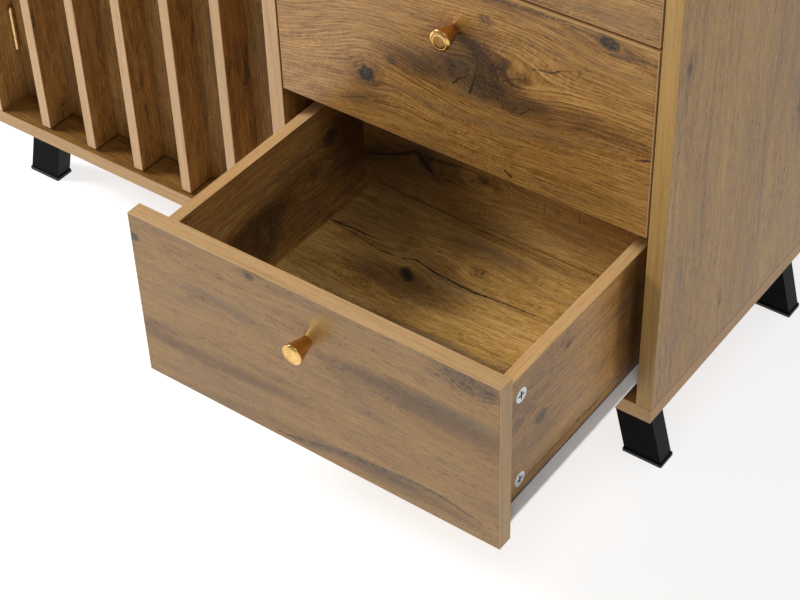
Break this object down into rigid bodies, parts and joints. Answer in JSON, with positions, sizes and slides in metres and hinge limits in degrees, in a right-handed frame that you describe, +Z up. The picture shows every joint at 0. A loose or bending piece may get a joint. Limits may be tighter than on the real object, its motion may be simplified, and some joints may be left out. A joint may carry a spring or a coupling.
{
  "type": "dresser",
  "caption": "Floor-standing dresser with a slatted door beside a stack of inset drawers on roller runners, tapered knobs and splayed rectangular steel legs.",
  "frame": {"origin": "on the floor, at the middle of the object's box with the lowest drawer resting open", "axes": "+X to the viewer's right along the front, -Y out of the front (the drawers open that way), +Z up"},
  "size_m": [0.832, 0.588, 0.693],
  "materials": {
    "back_hardboard": "bare brown hardboard",
    "bright_steel": "bright zinc plate",
    "cap_plastic": "moulded, fine grain",
    "catch_plastic": "moulded, fine grain",
    "dowel_beech": "bare fluted beech",
    "fitting_zinc": "bright cast zinc",
    "hinge_brass": "plated, satin",
    "knob_brass": "polished, turned",
    "leg_black": "fine black powder coat",
    "oak_carcase": "satin printed oak melamine with fine pores",
    "oak_door": "satin printed oak melamine with fine pores",
    "oak_drawer_box": "satin printed oak melamine with fine pores",
    "oak_front": "satin printed oak melamine with fine pores",
    "oak_print_thin": "smooth printed oak on thin board",
    "roller_nylon": "moulded white nylon",
    "runner_enamel": "light grey enamel"
  },
  "bodies": {
    "carcase": {"back_panel": "back_hardboard", "bottom_board": "oak_carcase", "cabinet_runners": "runner_enamel", "carcase_cam_fittings": "fitting_zinc", "carcase_dowels": "dowel_beech", "divider": "oak_carcase", "fitting_screws": "bright_steel", "foot_caps": "cap_plastic", "hinge_frame_leaves": "hinge_brass", "hinge_pins": "hinge_brass", "leg_front_left": "leg_black", "leg_front_right": "leg_black", "leg_rear_left": "leg_black", "leg_rear_right": "leg_black", "leg_screws": "bright_steel", "magnetic_catch": "catch_plastic", "runner_screws": "bright_steel", "shelf": "oak_carcase", "shelf_pins": "bright_steel", "side_panel_left": "oak_carcase", "side_panel_right": "oak_carcase", "top_board": "oak_carcase"},
    "door": {"door_panel": "oak_door", "door_screws": "bright_steel", "door_slats": "oak_door", "hinge_door_leaves": "hinge_brass", "strike_plate": "bright_steel"},
    "drawer_lower": {"drawer_lower_back": "oak_drawer_box", "drawer_lower_bottom": "oak_print_thin", "drawer_lower_cam_fittings": "fitting_zinc", "drawer_lower_front": "oak_front", "drawer_lower_knob": "knob_brass", "drawer_lower_knob_screw": "bright_steel", "drawer_lower_runners": "runner_enamel", "drawer_lower_side_left": "oak_drawer_box", "drawer_lower_side_right": "oak_drawer_box"},
    "lower_rear_rollers": {"drawer_lower_rear_rollers": "roller_nylon"},
    "lower_front_rollers": {"cabinet_lower_front_rollers": "roller_nylon"},
    "drawer_middle": {"drawer_middle_back": "oak_drawer_box", "drawer_middle_bottom": "oak_print_thin", "drawer_middle_cam_fittings": "fitting_zinc", "drawer_middle_front": "oak_front", "drawer_middle_knob": "knob_brass", "drawer_middle_knob_screw": "bright_steel", "drawer_middle_runners": "runner_enamel", "drawer_middle_side_left": "oak_drawer_box", "drawer_middle_side_right": "oak_drawer_box"},
    "middle_rear_rollers": {"drawer_middle_rear_rollers": "roller_nylon"},
    "middle_front_rollers": {"cabinet_middle_front_rollers": "roller_nylon"},
    "drawer_upper": {"drawer_upper_back": "oak_drawer_box", "drawer_upper_bottom": "oak_print_thin", "drawer_upper_cam_fittings": "fitting_zinc", "drawer_upper_front": "oak_front", "drawer_upper_knob": "knob_brass", "drawer_upper_knob_screw": "bright_steel", "drawer_upper_runners": "runner_enamel", "drawer_upper_side_left": "oak_drawer_box", "drawer_upper_side_right": "oak_drawer_box"},
    "upper_rear_rollers": {"drawer_upper_rear_rollers": "roller_nylon"},
    "upper_front_rollers": {"cabinet_upper_front_rollers": "roller_nylon"}
  },
  "joints": [
    {"name": "drawer_lower_slide", "type": "slide", "parent": "carcase", "child": "drawer_lower", "axis": [0, -1, 0], "range_m": [-0.216, 0.004]},
    {"name": "lower_rear_rollers_spin", "type": "hinge", "parent": "drawer_lower", "child": "lower_rear_rollers", "pos_m": [0.204, 0.032, 0.1195], "axis": [1, 0, 0], "continuous": true},
    {"name": "lower_front_rollers_spin", "type": "hinge", "parent": "carcase", "child": "lower_front_rollers", "pos_m": [0.204, -0.026, 0.122], "axis": [1, 0, 0], "continuous": true},
    {"name": "drawer_middle_slide", "type": "slide", "parent": "carcase", "child": "drawer_middle", "axis": [0, -1, 0], "range_m": [0, 0.22]},
    {"name": "middle_rear_rollers_spin", "type": "hinge", "parent": "drawer_middle", "child": "middle_rear_rollers", "pos_m": [0.204, 0.248, 0.3085], "axis": [1, 0, 0], "continuous": true},
    {"name": "middle_front_rollers_spin", "type": "hinge", "parent": "carcase", "child": "middle_front_rollers", "pos_m": [0.204, -0.026, 0.311], "axis": [1, 0, 0], "continuous": true},
    {"name": "drawer_upper_slide", "type": "slide", "parent": "carcase", "child": "drawer_upper", "axis": [0, -1, 0], "range_m": [0, 0.22]},
    {"name": "upper_rear_rollers_spin", "type": "hinge", "parent": "drawer_upper", "child": "upper_rear_rollers", "pos_m": [0.204, 0.248, 0.4975], "axis": [1, 0, 0], "continuous": true},
    {"name": "upper_front_rollers_spin", "type": "hinge", "parent": "carcase", "child": "upper_front_rollers", "pos_m": [0.204, -0.026, 0.5], "axis": [1, 0, 0], "continuous": true},
    {"name": "door_hinge", "type": "hinge", "parent": "carcase", "child": "door", "pos_m": [-0.3968, -0.0214, 0.3915], "axis": [0, 0, -1], "range_deg": [0, 100]}
  ],
  "couplings": [
    {"joint": "lower_rear_rollers_spin", "follows": "drawer_lower_slide", "rad_per_m": 153.85},
    {"joint": "lower_front_rollers_spin", "follows": "drawer_lower_slide", "rad_per_m": 133.33},
    {"joint": "middle_rear_rollers_spin", "follows": "drawer_middle_slide", "rad_per_m": 153.85},
    {"joint": "middle_front_rollers_spin", "follows": "drawer_middle_slide", "rad_per_m": 133.33},
    {"joint": "upper_rear_rollers_spin", "follows": "drawer_upper_slide", "rad_per_m": 153.85},
    {"joint": "upper_front_rollers_spin", "follows": "drawer_upper_slide", "rad_per_m": 133.33}
  ]
}
